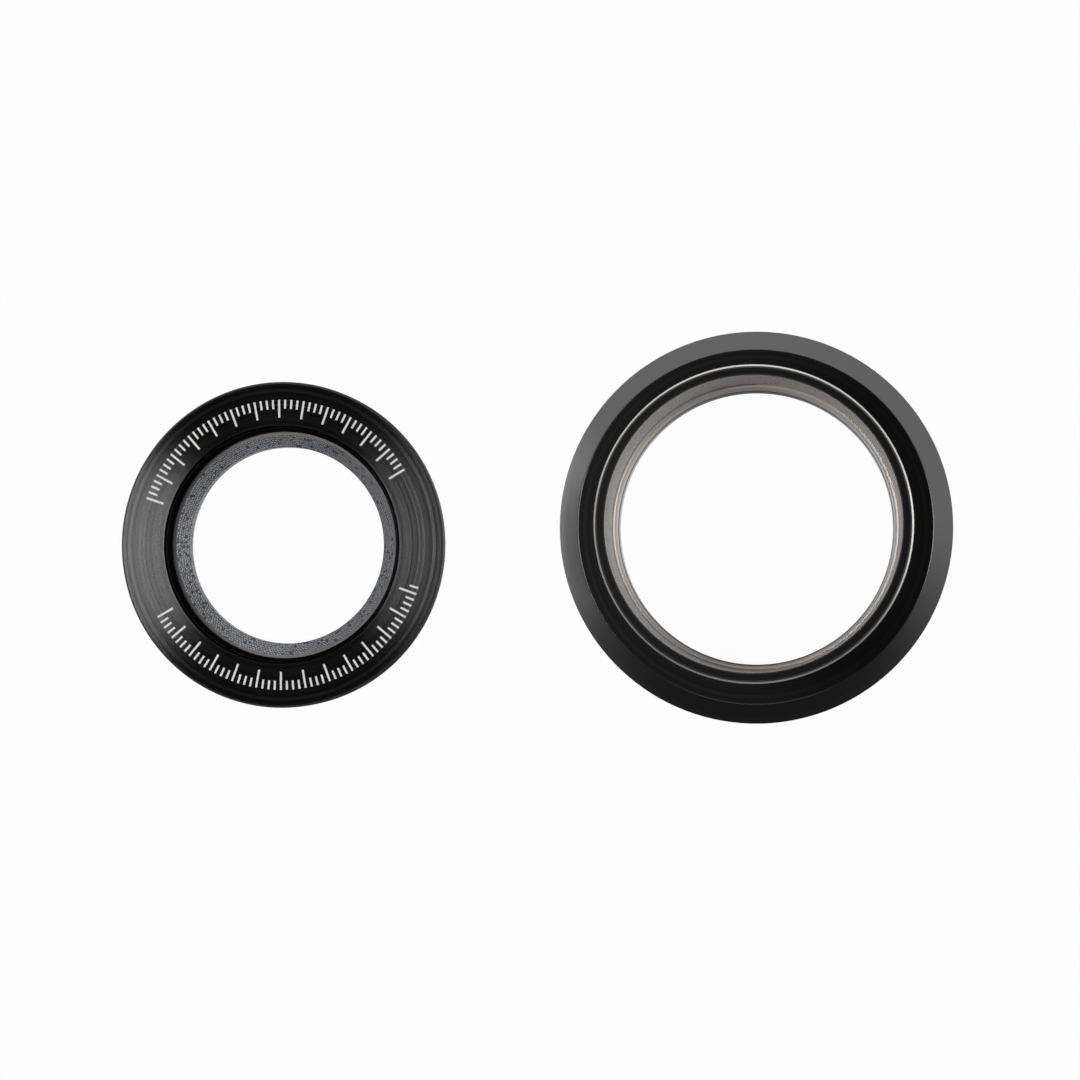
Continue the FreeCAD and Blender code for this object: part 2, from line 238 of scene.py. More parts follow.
off_axis = add(paper, "ShaderNodeVectorMath",
               {0: ground, 1: (LOWER_AXIS.x, LOWER_AXIS.y, 0)}, operation="SUBTRACT")
distance = add(paper, "ShaderNodeVectorMath", {0: off_axis.outputs[0]}, operation="LENGTH")
in_well = add(paper, "ShaderNodeMapRange",
              {"Value": distance.outputs["Value"], "From Min": WELL_RADIUS * WELL_RIM,
               "From Max": WELL_RADIUS}, interpolation_type="SMOOTHSTEP")
sideways = add(paper, "ShaderNodeSeparateXYZ", {0: off_axis.outputs[0]})
span = add(paper, "ShaderNodeMath", {0: sideways.outputs["X"], 1: WELL_RADIUS},
           operation="DIVIDE")
squared = add(paper, "ShaderNodeMath", {0: span.outputs[0], 1: span.outputs[0]},
              operation="MULTIPLY")
well = add(paper, "ShaderNodeMapRange", {"Value": squared.outputs[0],
                                         "To Min": WELL_SHADE, "To Max": WELL_SIDES})
shaded = add(paper, "ShaderNodeMix", {"Factor": in_well.outputs[0], "A": 1.0,
                                      "B": well.outputs[0]})

# Painted light: a bright patch on the mirrored paper between the two assemblies.
gap = [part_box("upper_cover")[1].x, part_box("lower_cup")[0].x]
patch = add(paper, "ShaderNodeMath",
            {0: zone(paper, place.outputs["X"], *gap, PATCH_SOFT[0]),
             1: zone(paper, place.outputs["Y"], -PATCH_HALF, PATCH_HALF, PATCH_SOFT[1])},
            operation="MULTIPLY")
painted_patch_light = add(paper, "ShaderNodeMapRange", {"Value": patch.outputs[0], "To Min": 1.0,
                                          "To Max": PATCH_GLOW})

dimmed = add(paper, "ShaderNodeMath", {0: fade.outputs[0], 1: shaded.outputs[0]},
             operation="MULTIPLY")
mirror_glow = add(paper, "ShaderNodeMath", {0: dimmed.outputs[0], 1: painted_patch_light.outputs[0]},
                  operation="MULTIPLY")
print("bright patch from", round(gap[0] / MM, 1), "to", round(gap[1] / MM, 1), "mm")

# %% [markdown]
# ## The paper itself
#
# White paper could be lit until it burns out, but then the lamps would burn out the metal
# too. Instead the paper glows by itself, and only for the rays that look at it: the camera's
# and the mirrored ones. A small share of it stays plain matt paper, which takes the soft
# shadow of the rings.

# %% White paper
PAPER = "#f4f4f4"
PAPER_GLOW = 0.97            # share of the paper that glows

rays = add(paper, "ShaderNodeLightPath")
mirrored = add(paper, "ShaderNodeMath", {0: rays.outputs["Is Glossy Ray"],
                                         1: rays.outputs["Is Transmission Ray"]},
               operation="MAXIMUM")
seen = add(paper, "ShaderNodeMath", {0: rays.outputs["Is Camera Ray"],
                                     1: mirrored.outputs[0]}, operation="MAXIMUM")
strength = add(paper, "ShaderNodeMix", {"Factor": rays.outputs["Is Glossy Ray"],
                                        "A": 1.0, "B": mirror_glow.outputs[0]})
glow = add(paper, "ShaderNodeEmission", {"Color": linear("#ffffff"),
                                         "Strength": strength.outputs[0]})
matte = add(paper, "ShaderNodeBsdfDiffuse", {"Color": linear(PAPER)})
glowing = add(paper, "ShaderNodeMath", {0: seen.outputs[0], 1: PAPER_GLOW},
              operation="MULTIPLY")
sheet = add(paper, "ShaderNodeMixShader", {0: glowing.outputs[0], 1: matte.outputs[0],
                                           2: glow.outputs[0]})
show(paper, sheet.outputs[0])
floor_mesh.materials.append(paper)
print(paper.name, "->", floor.name)

# %% [markdown]
# ## Lamps
#
# Four soft panels stand round the pair and face it. Small lamps would be simpler, but they
# would draw hard sparks on every edge. The left one hangs nearest and highest.
# It draws both pale fans on the turned cover, because circles spread one lamp's light to
# either side of their axis, and since it is near, the left fan is the stronger, as in the
# photograph. The other three are larger, lower and further off: they light the matt
# surfaces evenly and lay a soft sheen on the cone and the walls.

# %% Lamps
def panel(name, place, size, power):
    """Soft rectangular lamp that faces the pair: metres, metres and watts."""
    data = bpy.data.lights.new(name, "AREA")
    data.shape = "RECTANGLE"
    data.size, data.size_y = size
    data.energy = power
    lamp = bpy.data.objects.new(name, data)
    scene.collection.objects.link(lamp)
    lamp.location = place
    lamp.rotation_euler = (-Vector(place)).to_track_quat("-Z", "Y").to_euler()
    print(name, "at", place, "gives", power, "W")


panel("left panel", (-0.34, 0.0, 0.46), size=(0.26, 0.15), power=1.55)
panel("right panel", (0.66, 0.0, 0.38), size=(0.30, 0.40), power=3)
panel("back panel", (0.0, 0.85, 0.35), size=(0.9, 0.35), power=2.4)
panel("front panel", (0.0, -0.75, 0.38), size=(0.6, 0.25), power=0.9)

# %% [markdown]
# ## A tent of light
#
# The faces that look straight up mirror what hangs over them, and in the photograph that is
# the dark studio round the lens. So the world is a tent of light that is white at the
# horizon and dark overhead, and dimmer on the side from which the picture's viewer would
# lean in. A picture of a real studio could be wrapped round the scene instead, but two soft
# steps need no file and can be tuned. The camera itself sees plain white past the floor.

# %% World
HORIZON, ZENITH = 0.94, 0.01
TENT_EDGE = 0.36             # sine of the height at which the tent ends
FRONT_SHARE = 0.3            # what is left of the tent in front of the pair
FRONT_FROM, FRONT_TO = -0.9, -0.2        # directions in Y between which it dims

world = bpy.data.worlds.new("studio")
scene.world = world
world.use_nodes = True
sky = world.node_tree.nodes["Background"]
sky.inputs["Color"].default_value = linear("#ffffff")
way = add(world, "ShaderNodeTexCoord")
course = add(world, "ShaderNodeSeparateXYZ", {0: way.outputs["Generated"]})
tent = add(world, "ShaderNodeMapRange",
           {"Value": course.outputs["Z"], "From Min": 0.0, "From Max": TENT_EDGE,
            "To Min": HORIZON, "To Max": ZENITH}, interpolation_type="SMOOTHSTEP")
open_side = add(world, "ShaderNodeMapRange",
                {"Value": course.outputs["Y"], "From Min": FRONT_FROM, "From Max": FRONT_TO,
                 "To Min": FRONT_SHARE, "To Max": 1.0}, interpolation_type="SMOOTHSTEP")
lit = add(world, "ShaderNodeMath", {0: tent.outputs[0], 1: open_side.outputs[0]},
          operation="MULTIPLY")
eye = add(world, "ShaderNodeLightPath")
backdrop = add(world, "ShaderNodeMix", {"Factor": eye.outputs["Is Camera Ray"],
                                        "A": lit.outputs[0], "B": 1.0})
world.node_tree.links.new(backdrop.outputs[0], sky.inputs["Strength"])
print("the tent ends", round(math.degrees(math.asin(TENT_EDGE))), "degrees up")

# %% [markdown]
# ## A surface that knows its axis
#
# A lathe leaves its marks in circles about the work's axis. They could be painted on an
# image and wrapped round the piece, but that shows a seam and blurs when seen from near.
# Worked out from the place of each point they do neither. The first function gives a
# finish three numbers at every point: how far the point is from the axis and how high it is,
# in millimetres, and how far it lies round the ring, in turns. The second makes an even
# grain. The third draws the tool's circles: on a flat face the radius counts them, on a
# wall the height does, and the sum of the two serves both. Grain and circles are noise,
# which stays near a half, so a finish spreads a stretch round there over its full scale.

# %% Turned coordinates
def round_the_axis(material, axis):
    """Sockets for (radius in mm, height in mm, turns round the ring)."""
    here = add(material, "ShaderNodeTexCoord")
    moved = add(material, "ShaderNodeVectorMath",
                {0: here.outputs["Object"], 1: (axis.x, axis.y, 0)}, operation="SUBTRACT")
    scaled = add(material, "ShaderNodeVectorMath",
                 {0: moved.outputs[0], "Scale": 1 / MM}, operation="SCALE")
    parts = add(material, "ShaderNodeSeparateXYZ", {0: scaled.outputs[0]})
    flat = add(material, "ShaderNodeCombineXYZ",
               {0: parts.outputs[0], 1: parts.outputs[1]})
    radius = add(material, "ShaderNodeVectorMath", {0: flat.outputs[0]}, operation="LENGTH")
    turn = add(material, "ShaderNodeMath",
               {0: parts.outputs[1], 1: parts.outputs[0]}, operation="ARCTAN2")
    turns = add(material, "ShaderNodeMath", {0: turn.outputs[0], 1: 0.5 / math.pi},
                operation="MULTIPLY")
    return radius.outputs["Value"], parts.outputs[2], turns.outputs[0]


def grit(material, size):
    """Fine even grain, such as blasting or a mould leaves, of a size in millimetres."""
    here = add(material, "ShaderNodeTexCoord")
    grain = add(material, "ShaderNodeTexNoise",
                {"Vector": here.outputs["Object"], "Scale": 1 / (size * MM), "Detail": 3.0,
                 "Roughness": 0.6})
    return grain.outputs["Fac"]


def tool_lines(material, radius, height, feed):
    """Circles left by a lathe tool. Radius and height together number them on any face."""
    along = add(material, "ShaderNodeMath", {0: radius, 1: height}, operation="ADD")
    lines = add(material, "ShaderNodeTexNoise",
                {"W": along.outputs[0], "Scale": 1 / feed, "Detail": 2.0, "Roughness": 0.5},
                noise_dimensions="1D")
    return lines.outputs["Fac"]


print("marks can be drawn round", [round(v / MM, 1) for v in (UPPER_AXIS.x, LOWER_AXIS.x)])

# %% [markdown]
# ## Black anodised aluminium
#
# The cups and the cover are turned from aluminium bar, and their skin is turned into a thin
# layer of oxide that is dyed black. The oxide is a clear, hard ceramic, so the surface
# mirrors like glass, not like metal, over a black ground. The tool's circles stay under it:
# they spread each reflection outwards from the axis, which draws the pale fans left and
# right on a flat face. The first function gives the dye, the roughness and the fine relief
# of such a surface, so that a piece can change them in a zone. The second puts them together
# and stretches the reflections. A few rings of slightly rougher and smoother oxide draw the
# lines in the fans.

# %% Black anodised aluminium
OXIDE_IOR = 1.77
OXIDE = ("#060505", "#0c0b0b")     # the dye's darkest and palest lines
TUMBLED = 0.85               # roughness of broken edges, which the tool left matt
FEED = 0.5                   # step from line to line, drawn coarser than real to show, mm
LINE_DEPTH = 0.004           # mm
LINE_NOISE = (0.3, 0.7)      # noise from the smoothest line to the roughest
OUTWARDS = 0.25              # turns the stretch from round the axis to away from it


def anodised(material, radius, height, roughness, marks, turned=1.0):
    """Dye, roughness and relief of oxide over turning marks, matt where turned is 0."""
    lines = tool_lines(material, radius, height, FEED)
    dye = add(material, "ShaderNodeMix",
              {"Factor": lines, "A": linear(OXIDE[0]), "B": linear(OXIDE[1])},
              data_type="RGBA")
    ringed = add(material, "ShaderNodeMapRange",
                 {"Value": lines, "From Min": LINE_NOISE[0], "From Max": LINE_NOISE[1],
                  "To Min": roughness - marks, "To Max": roughness + marks})
    rough = add(material, "ShaderNodeMix", {"Factor": turned, "A": TUMBLED,
                                            "B": ringed.outputs[0]})
    relief = add(material, "ShaderNodeBump",
                 {"Height": lines, "Strength": marks, "Distance": LINE_DEPTH * MM})
    return dye.outputs["Result"], rough.outputs[0], relief.outputs[0]


def oxide(material, colour, rough, relief, stretch, bare=0.0):
    """Show clear oxide that stretches what it mirrors, or metal where bare is 1."""
    tangent = add(material, "ShaderNodeTangent", direction_type="RADIAL", axis="Z")
    surface = add(material, "ShaderNodeBsdfPrincipled", {
        "Base Color": colour, "Metallic": bare, "IOR": OXIDE_IOR, "Roughness": rough,
        "Anisotropic": stretch, "Anisotropic Rotation": OUTWARDS,
        "Tangent": tangent.outputs[0], "Normal": relief})
    show(material, surface.outputs[0])


print("oxide lines every", FEED, "mm")

# %% [markdown]
# ## The turned cover
#
# The cover's flat face has the strongest fans. Its outer edge is broken by hand and stays
# matt. Two surfaces in its opening are black in the photograph. The wall under the face
# looks into the dark of the recess and is smooth, so that it mirrors nothing else. The small
# chamfer at the mouth would catch the light of the tent. It is made a metal that has the
# dye's own colour, and so it mirrors next to nothing: painted shade, which keeps it as dark
# as the shade in the opening.

# %% Turned cover
FACE_EDGE = 0.3              # width of the broken outer edge, mm
FACE_DEPTH = 0.1             # the face reaches this far below the cover's top, mm
OPENING, MOUTH = 17.0, 17.2  # radius of the opening, and of its chamfer at the face, mm
MOUTH_DEPTH = 0.31           # height of the chamfer, mm
HAIR = 0.01                  # its zone and the recess's stop this short of the next face, mm
RECESS_ROUGHNESS = 0.12

cover_black = new_material("black anodised aluminium, turned cover")
radius, height, _ = round_the_axis(cover_black, UPPER_AXIS)
top = COVER_TOP / MM
face = add(cover_black, "ShaderNodeMath",
           {0: zone(cover_black, radius, MOUTH, COVER_RADIUS / MM - FACE_EDGE),
            1: zone(cover_black, height, top - FACE_DEPTH, OPEN_END)}, operation="MULTIPLY")
recess = add(cover_black, "ShaderNodeMath",
             {0: zone(cover_black, radius, 0.0, OPENING),
              1: zone(cover_black, height, 0.0, top - MOUTH_DEPTH - HAIR)},
             operation="MULTIPLY")
# Painted shade: the mouth's chamfer is a black metal that mirrors next to nothing.
mouth = add(cover_black, "ShaderNodeMath",
            {0: zone(cover_black, radius, 0.0, MOUTH - HAIR),
             1: zone(cover_black, height, top - MOUTH_DEPTH, OPEN_END)},
            operation="MULTIPLY")
dye, rough, relief = anodised(cover_black, radius, height, roughness=0.235, marks=0.05,
                              turned=face.outputs[0])
smooth_inside = add(cover_black, "ShaderNodeMix", {"Factor": recess.outputs[0], "A": rough,
                                                   "B": RECESS_ROUGHNESS})
oxide(cover_black, dye, smooth_inside.outputs[0], relief, stretch=0.94,
      bare=mouth.outputs[0])
dress(cover_black, "upper_cover")

# %% [markdown]
# ## The upper cup
#
# The upper cup is anodised in the same bath. Only its outside shows, below the cover, and
# its turning marks are fainter, so one even finish does for the whole piece.

# %% Upper cup
cup_black = new_material("black anodised aluminium, upper cup")
radius, height, _ = round_the_axis(cup_black, UPPER_AXIS)
oxide(cup_black, *anodised(cup_black, radius, height, roughness=0.3, marks=0.03),
      stretch=0.3)
dress(cup_black, "upper_cup")

# %% [markdown]
# ## The lower cup: four finishes on one piece
#
# The lower cup is satin black like the rest, but not all over. The outer half of the chamfer
# that leads the skirt into the head tube is turned after dyeing, so it is a bare bright
# line. Its inner half and the lip at the wall are broken by hand and stay matt black. The
# wall inside the skirt is bead-blasted and stays grey. These could be four materials on
# four sets of faces, but the bare line ends half-way down a face, where the mesh has no
# edge. So they are zones of radius and height on one shader: a zone swaps colour, metal and
# roughness.

# %% Lower cup, where each finish lies
CHAMFER_HEIGHT = 0.47        # height of the lead-in chamfer, mm
BARE_FROM = 21.78            # the bare line lies outside this radius, mm
MATT_WIDTH = 0.24            # width of the matt half beside it, mm
WALL_RADIUS, WALL_FOOT = 20.52, 10.05    # mm
LIP_HEIGHT, LIP_WIDTH = 0.1, 0.15        # the broken lip at the head of the wall, mm
LIP_OVERLAP = 0.03           # the lip's zone reaches this far down the wall, mm

lower_black = new_material("black anodised aluminium, lower cup")
radius, height, _ = round_the_axis(lower_black, LOWER_AXIS)
top = SKIRT_TOP / MM
lip = add(lower_black, "ShaderNodeMath",
          {0: zone(lower_black, radius, 0.0, WALL_RADIUS + LIP_WIDTH),
           1: zone(lower_black, height, top - LIP_HEIGHT - LIP_OVERLAP, OPEN_END)},
          operation="MULTIPLY")
matt_half = zone(lower_black, radius, BARE_FROM - MATT_WIDTH, BARE_FROM)
broken = add(lower_black, "ShaderNodeMath", {0: lip.outputs[0], 1: matt_half},
             operation="MAXIMUM")
turned = add(lower_black, "ShaderNodeMath", {0: 1.0, 1: broken.outputs[0]},
             operation="SUBTRACT")
line = add(lower_black, "ShaderNodeMath",
           {0: zone(lower_black, radius, BARE_FROM, OPEN_END),
            1: zone(lower_black, height, top - CHAMFER_HEIGHT, OPEN_END)},
           operation="MULTIPLY")
wall = add(lower_black, "ShaderNodeMath",
           {0: zone(lower_black, radius, 0.0, WALL_RADIUS),
            1: zone(lower_black, height, WALL_FOOT, top - LIP_HEIGHT)},
           operation="MULTIPLY").outputs[0]
bare = add(lower_black, "ShaderNodeMath", {0: line.outputs[0], 1: wall},
           operation="MAXIMUM").outputs[0]
print("bare line outside", BARE_FROM, "mm, blasted wall inside", WALL_RADIUS, "mm")

# %% [markdown]
# ## The lower cup's bare metal
#
# Blasting beads leave round dents side by side. Their rims catch light and their floors
# don't, so the grain shows as a fine relief and as speckles of two greys: the blasted grain,
# with a painted highlight on each rim and painted shade in each floor. The relief could be
# pushed into the mesh, but for dents this small a bump looks the same and leaves the mesh
# light. Real dents are about a tenth of a millimetre wide, and here they are drawn wider so
# that they show.

# %% Lower cup, bare metal
BARE, BARE_ROUGHNESS = "#cfccc8", 0.5
# The blasted metal's greys, darkened as painted shade in the dents' floors and lightened as a
# painted highlight on their rims.
BLASTED, BLASTED_ROUGHNESS = ("#8a8684", "#e6e1de"), 0.55
BEAD = 0.24                  # width of a dent, mm
DENT_DEPTH = 0.05            # mm
DENT_NOISE = (0.35, 0.65)    # noise from a dent's floor to its rim

dye, rough, relief = anodised(lower_black, radius, height, roughness=0.3, marks=0.02,
                              turned=turned.outputs[0])
dents = grit(lower_black, BEAD)
# Painted highlight on the dent rims and painted shade in their floors, over the blasted
# grain.
pebbled = add(lower_black, "ShaderNodeMapRange",
              {"Value": dents, "From Min": DENT_NOISE[0], "From Max": DENT_NOISE[1]})
rim_highlight_and_grain = add(lower_black, "ShaderNodeMix",
               {"Factor": pebbled.outputs[0], "A": linear(BLASTED[0]),
                "B": linear(BLASTED[1])}, data_type="RGBA")
metal = add(lower_black, "ShaderNodeMix",
            {"Factor": wall, "A": linear(BARE), "B": rim_highlight_and_grain.outputs["Result"]},
            data_type="RGBA")
colour = add(lower_black, "ShaderNodeMix",
             {"Factor": bare, "A": dye, "B": metal.outputs["Result"]},
             data_type="RGBA")
metal_rough = add(lower_black, "ShaderNodeMix",
                  {"Factor": wall, "A": BARE_ROUGHNESS, "B": BLASTED_ROUGHNESS})
all_rough = add(lower_black, "ShaderNodeMix",
                {"Factor": bare, "A": rough, "B": metal_rough.outputs[0]})
depth = add(lower_black, "ShaderNodeMath", {0: dents, 1: wall}, operation="MULTIPLY")
dented = add(lower_black, "ShaderNodeBump",
             {"Height": depth.outputs[0], "Strength": 0.8, "Distance": DENT_DEPTH * MM,
              "Normal": relief})
oxide(lower_black, colour.outputs["Result"], all_rough.outputs[0], dented.outputs[0],
      stretch=0.0, bare=bare)
dress(lower_black, "lower_cup")

# %% [markdown]
# ## Steel
#
# The bearing's rings are hardened steel, ground bright. The light band inside the lower
# skirt is the bore of the bearing's inner ring. A grinding wheel leaves fine, faint circles.
# The crown race below it is turned, so its circles are coarser, and its steel is a little
# bluer. The compression ring is formed from sheet. All are metals with circles about the
# axis, so one function makes them from two tones, a roughness and the step from circle to
# circle.

# %% Steel
GROUND, GROUND_ROUGHNESS = ("#d6cfc8", "#dfd9d4"), 0.58
TURNED, TURNED_ROUGHNESS = ("#79828f", "#98a2b0"), 0.34
FORMED, FORMED_ROUGHNESS = ("#82796f", "#968c82"), 0.42
GROUND_STEP, TURNED_STEP, FORMED_STEP = 0.1, 0.25, 0.4     # circle to circle, mm
ROUGHNESS_SPREAD = 0.04      # how far the circles differ from the roughness


def steel(name, axis, tones, roughness, step):
    """Material for steel finished in circles. The tones are its dull and bright lines."""
    material = new_material(name)
    radius, height, _ = round_the_axis(material, axis)
    lines = tool_lines(material, radius, height, step)
    tone = add(material, "ShaderNodeMix",
               {"Factor": lines, "A": linear(tones[0]), "B": linear(tones[1])},
               data_type="RGBA")
    rough = add(material, "ShaderNodeMapRange",
                {"Value": lines, "To Min": roughness - ROUGHNESS_SPREAD,
                 "To Max": roughness + ROUGHNESS_SPREAD})
    surface = add(material, "ShaderNodeBsdfPrincipled", {
        "Base Color": tone.outputs["Result"], "Metallic": 1.0, "Roughness": rough.outputs[0]})
    show(material, surface.outputs[0])
    return material


dress(steel("ground bearing steel, upper rings", UPPER_AXIS, GROUND, GROUND_ROUGHNESS,
            GROUND_STEP), "upper_bearing_outer_ring", "upper_bearing_inner_ring")
dress(steel("ground bearing steel, lower rings", LOWER_AXIS, GROUND, GROUND_ROUGHNESS,
            GROUND_STEP), "lower_bearing_outer_ring", "lower_bearing_inner_ring")
dress(steel("turned steel, crown race", LOWER_AXIS, TURNED, TURNED_ROUGHNESS,
            TURNED_STEP), "crown_race")
dress(steel("cold-formed sheet steel", UPPER_AXIS, FORMED, FORMED_ROUGHNESS,
            FORMED_STEP), "compression_ring")

# %% [markdown]
# ## Balls
#
# The balls are lapped until they mirror nearly as well as glass, so they have no lines at
# all, only a thin film of oil that lies in smears. The film could be a coat of its own over
# the steel, but all that it does to the eye is to make some places a little duller than
# others, and a roughness that wanders does that too.

# %% Balls
BALL = "#cfcdca"
SMEAR = 0.8                  # mm across
LAPPED, OILY = 0.05, 0.16    # roughness of the clean and of the smeared places

polished = new_material("lapped bearing steel, balls")
film = add(polished, "ShaderNodeMapRange", {"Value": grit(polished, SMEAR),
                                            "To Min": LAPPED, "To Max": OILY})
mirror = add(polished, "ShaderNodeBsdfPrincipled", {
    "Base Color": linear(BALL), "Metallic": 1.0, "Roughness": film.outputs[0]})
show(polished, mirror.outputs[0])
dress(polished, "upper_bearing_balls", "lower_bearing_balls")

# %% [markdown]
# ## Rubber
#
# The seals are moulded from nitrile rubber, which is nearly black and matt. One flat black
# would do from afar, but close by it looks like a hole beside the oxide. So the rubber gets
# the fine grain of its mould and a faint cloudy bloom.

# %% Rubber
RUBBER = ("#101011", "#1c1c1d")
BLOOM, MOULD_GRAIN = 1.5, 0.12           # mm across
MOULD_DEPTH = 0.02           # mm

rubber = new_material("moulded nitrile rubber")
bloom = add(rubber, "ShaderNodeMix",
            {"Factor": grit(rubber, BLOOM), "A": linear(RUBBER[0]),
             "B": linear(RUBBER[1])}, data_type="RGBA")
grained = add(rubber, "ShaderNodeBump", {"Height": grit(rubber, MOULD_GRAIN),
                                         "Strength": 0.4, "Distance": MOULD_DEPTH * MM})
matt = add(rubber, "ShaderNodeBsdfPrincipled", {
    "Base Color": bloom.outputs["Result"], "Roughness": 0.55, "IOR": 1.5,
    "Normal": grained.outputs[0]})
show(rubber, matt.outputs[0])
dress(rubber, "upper_cover_seal", "crown_race_seal", "upper_bearing_seat_seal",
      "upper_bearing_wedge_seal", "lower_bearing_seat_seal", "lower_bearing_wedge_seal")

# %% [markdown]
# ## Cages
#
# The cages are cast from a hard waxy mass that is full of oil. It is dark and slightly
# shiny, and small pores show where the oil comes out. The pores could be cut into the mesh,
# but they are seen only between balls and seals, so a bump and a darker tone are enough.

# %% Cages
WAX = ("#1d1b19", "#37332f")
PORE = 0.25                  # mm across
PORE_DEPTH = 0.03            # mm
PORE_NOISE = (0.35, 0.5)     # noise from a pore's floor to the smooth surface

cage = new_material("moulded solid lubricant")
pores = add(cage, "ShaderNodeMapRange",
            {"Value": grit(cage, PORE), "From Min": PORE_NOISE[0],
             "From Max": PORE_NOISE[1]})
wax = add(cage, "ShaderNodeMix",
          {"Factor": pores.outputs[0], "A": linear(WAX[0]), "B": linear(WAX[1])},
          data_type="RGBA")
pitted = add(cage, "ShaderNodeBump", {"Height": pores.outputs[0], "Strength": 0.4,
                                      "Distance": PORE_DEPTH * MM})
waxy = add(cage, "ShaderNodeBsdfPrincipled", {
    "Base Color": wax.outputs["Result"], "Roughness": 0.42, "IOR": 1.48,
    "Normal": pitted.outputs[0]})
show(cage, waxy.outputs[0])
dress(cage, "upper_bearing_cage", "lower_bearing_cage")

# %% [markdown]
# ## The mesh in the sliding skin: rows of flecks
#
# The grey ring in the upper opening is a strip of sliding material: a fine metal mesh rolled
# flat and filled with slippery polymer. The strands show as short pale flecks that run round
# the ring, in rows that are shifted by half a fleck, as bricks are, and pushed about a
# little. A picture of a mesh would show a seam. This pattern is worked out from the turns
# round the ring and from the distance along the cone instead, and a whole number of flecks
# goes round, so it closes on itself.

# %% Mesh, rows of flecks
FLECKS_ROUND = 230           # spaced 0.41 mm at the middle of the cone
ROW = 0.36                   # distance from row to row along the cone, mm
WANDER = 0.55                # size of the patches that are pushed about together, mm
WANDER_NOISE = (0.25, 0.75)  # noise that pushes a fleck half a place back, or half on
FLECK_HALVES = (0.42, 0.36)  # half a fleck, in spacings round the ring and in rows
FLECK_CORE, FLECK_END = 0.5, 1.3         # full brightness inside, none outside, in halves

mesh_skin = new_material("mesh-filled sliding skin")
radius, height, turns = round_the_axis(mesh_skin, UPPER_AXIS)
climb = add(mesh_skin, "ShaderNodeMath", {0: radius, 1: height}, operation="ADD")
drift = add(mesh_skin, "ShaderNodeMapRange",
            {"Value": grit(mesh_skin, WANDER), "From Min": WANDER_NOISE[0],
             "From Max": WANDER_NOISE[1], "To Min": -0.5, "To Max": 0.5})
rows = add(mesh_skin, "ShaderNodeMath",
           {0: climb.outputs[0], 1: 1 / (math.sqrt(2) * ROW), 2: drift.outputs[0]},
           operation="MULTIPLY_ADD")
row_number = add(mesh_skin, "ShaderNodeMath", {0: rows.outputs[0]}, operation="FLOOR")
shift = add(mesh_skin, "ShaderNodeMath",
            {0: row_number.outputs[0], 1: 0.5, 2: drift.outputs[0]},
            operation="MULTIPLY_ADD")
count = add(mesh_skin, "ShaderNodeMath",
            {0: turns, 1: float(FLECKS_ROUND), 2: shift.outputs[0]},
            operation="MULTIPLY_ADD")
offsets = []
for value, half in zip((count, rows), FLECK_HALVES):
    part = add(mesh_skin, "ShaderNodeMath", {0: value.outputs[0]}, operation="FRACT")
    centred = add(mesh_skin, "ShaderNodeMath", {0: part.outputs[0], 1: 0.5},
                  operation="SUBTRACT")
    offset = add(mesh_skin, "ShaderNodeMath", {0: centred.outputs[0], 1: 1 / half},
                 operation="MULTIPLY")
    offsets.append(offset.outputs[0])
spot = add(mesh_skin, "ShaderNodeCombineXYZ", {0: offsets[0], 1: offsets[1]})
reach = add(mesh_skin, "ShaderNodeVectorMath", {0: spot.outputs[0]}, operation="LENGTH")
fleck = add(mesh_skin, "ShaderNodeMapRange",
            {"Value": reach.outputs["Value"], "From Min": FLECK_END, "From Max": FLECK_CORE},
            interpolation_type="SMOOTHSTEP").outputs[0]
print("flecks round the ring:", FLECKS_ROUND)

# %% [markdown]
# ## The mesh in the sliding skin: colours and pits
#
# A few flecks have come away and left a pit, which is painted black as the shade inside it.
# Each fleck draws a number from its row and its place in the row, and the highest numbers are
# pits. Here and there the filling lies over the mesh and shows tan. The strip's cut end, at
# the outside of the cone, is plain.

# %% Mesh, colours and pits
STRAND, FILLING = "#9ea5ae", "#444140"
PIT_SHADE, TAN, CUT_END = "#0c0c0d", "#a89a90", "#7f7a79"
PIT_SHARE = 0.07             # share of the flecks that have come away
SMEARED = 0.42               # size of the tan smears, mm
SMEAR_NOISE = (0.64, 0.72)   # noise from no smear to a full one
SKIN_END = 15.97             # outside this radius the strip's plain end shows, mm
STRAND_DEPTH = 0.04          # mm

fleck_number = add(mesh_skin, "ShaderNodeMath", {0: count.outputs[0]}, operation="FLOOR")
cell = add(mesh_skin, "ShaderNodeCombineXYZ", {0: fleck_number.outputs[0],
                                               1: row_number.outputs[0]})
draw = add(mesh_skin, "ShaderNodeTexWhiteNoise", {"Vector": cell.outputs[0]},
           noise_dimensions="2D")
# Painted shade: a black pit where a fleck has come away.
lost = add(mesh_skin, "ShaderNodeMath", {0: draw.outputs["Value"], 1: 1 - PIT_SHARE},
           operation="GREATER_THAN")
pit = add(mesh_skin, "ShaderNodeMath", {0: lost.outputs[0], 1: fleck},
          operation="MULTIPLY")
smeared = add(mesh_skin, "ShaderNodeMapRange",
              {"Value": grit(mesh_skin, SMEARED), "From Min": SMEAR_NOISE[0],
               "From Max": SMEAR_NOISE[1]})
tone = linear(FILLING)
for share, colour in ((fleck, STRAND), (smeared.outputs[0], TAN), (pit.outputs[0], PIT_SHADE),
                      (zone(mesh_skin, radius, SKIN_END, OPEN_END), CUT_END)):
    tone = add(mesh_skin, "ShaderNodeMix",
               {"Factor": share, "A": tone, "B": linear(colour)},
               data_type="RGBA").outputs["Result"]
weave = add(mesh_skin, "ShaderNodeBump", {"Height": fleck, "Strength": 0.5,
                                          "Distance": STRAND_DEPTH * MM})
